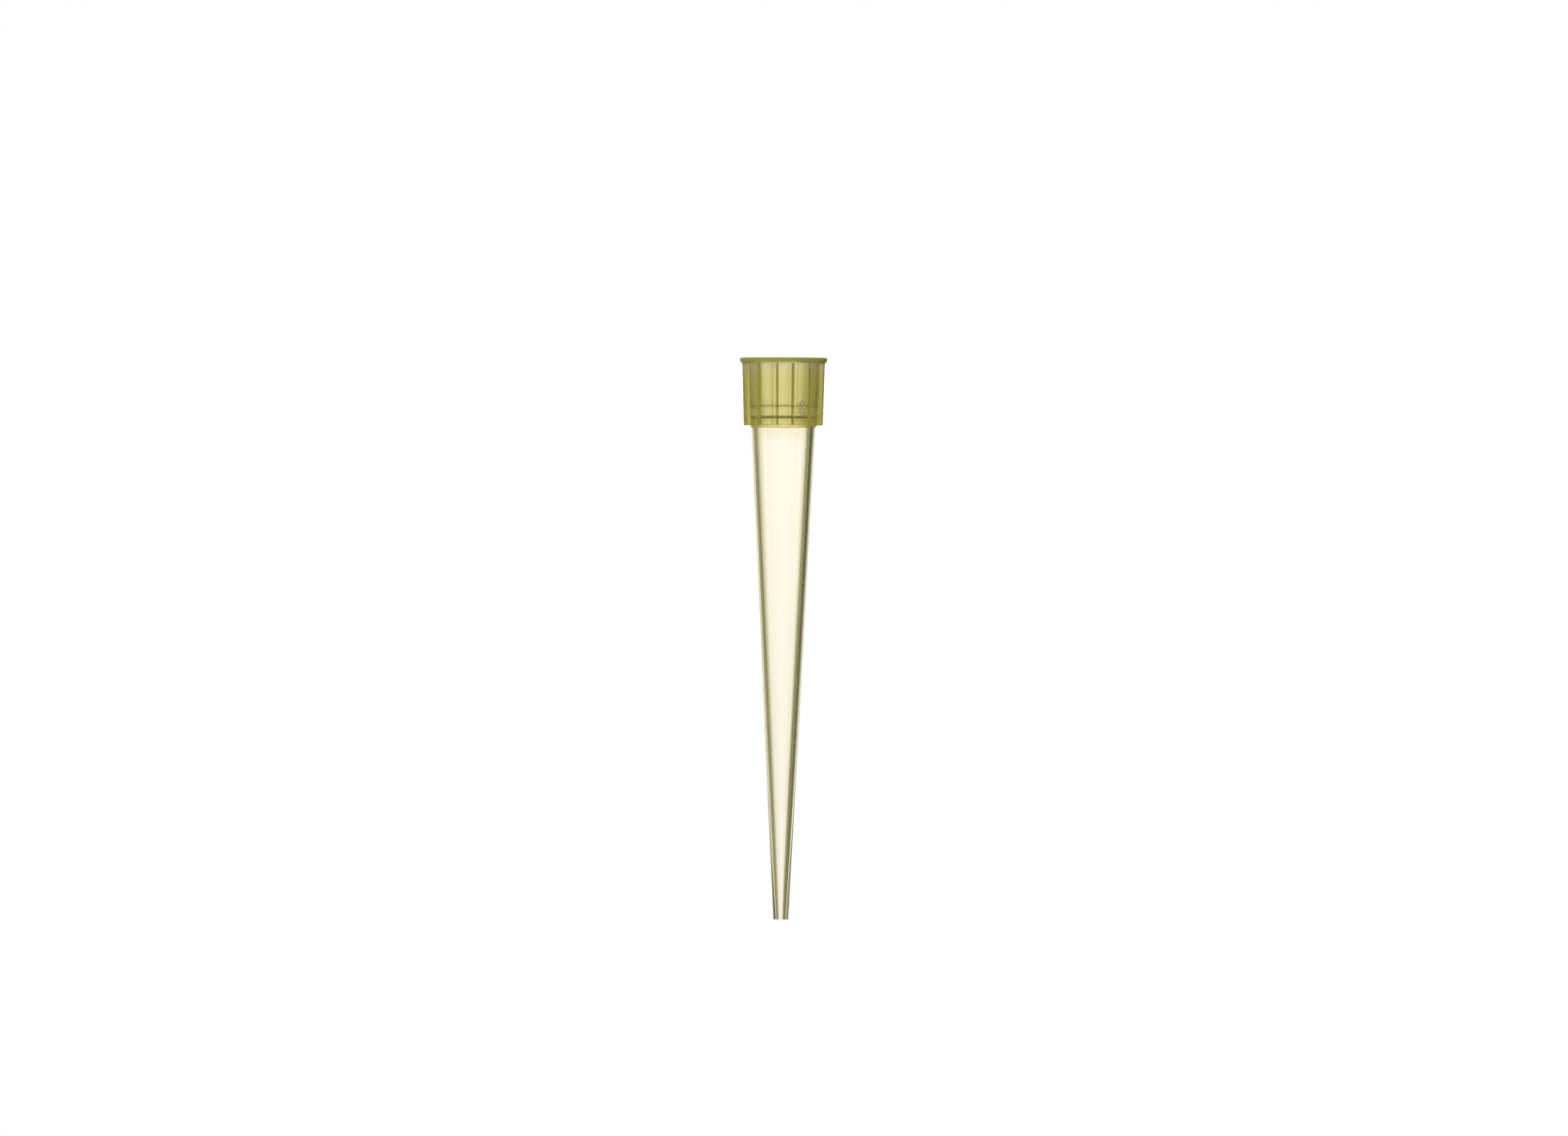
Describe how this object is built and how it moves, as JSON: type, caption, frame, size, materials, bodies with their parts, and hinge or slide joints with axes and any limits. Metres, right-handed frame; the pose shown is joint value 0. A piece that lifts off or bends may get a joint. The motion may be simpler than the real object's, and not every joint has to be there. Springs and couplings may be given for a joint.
{
  "type": "pipette tip",
  "caption": "Slender conical yellow plastic pipette tip with a ribbed collar, a flanged mouth and a stepped socket that pushes onto a pipette's nozzle.",
  "frame": {"origin": "centre of the mouth, in the plane of the rim that the tip stands on", "axes": "+Z along the axis, from the mouth to the fine end; a gap between two ribs faces -Y"},
  "size_m": [0.0078, 0.0078, 0.05],
  "materials": {
    "yellow_polypropylene": "translucent yellow; polished on the cone and in the bore, fine matt texture on the collar"
  },
  "bodies": {
    "root": {"pipette_tip": "yellow_polypropylene"}
  },
  "joints": []
}
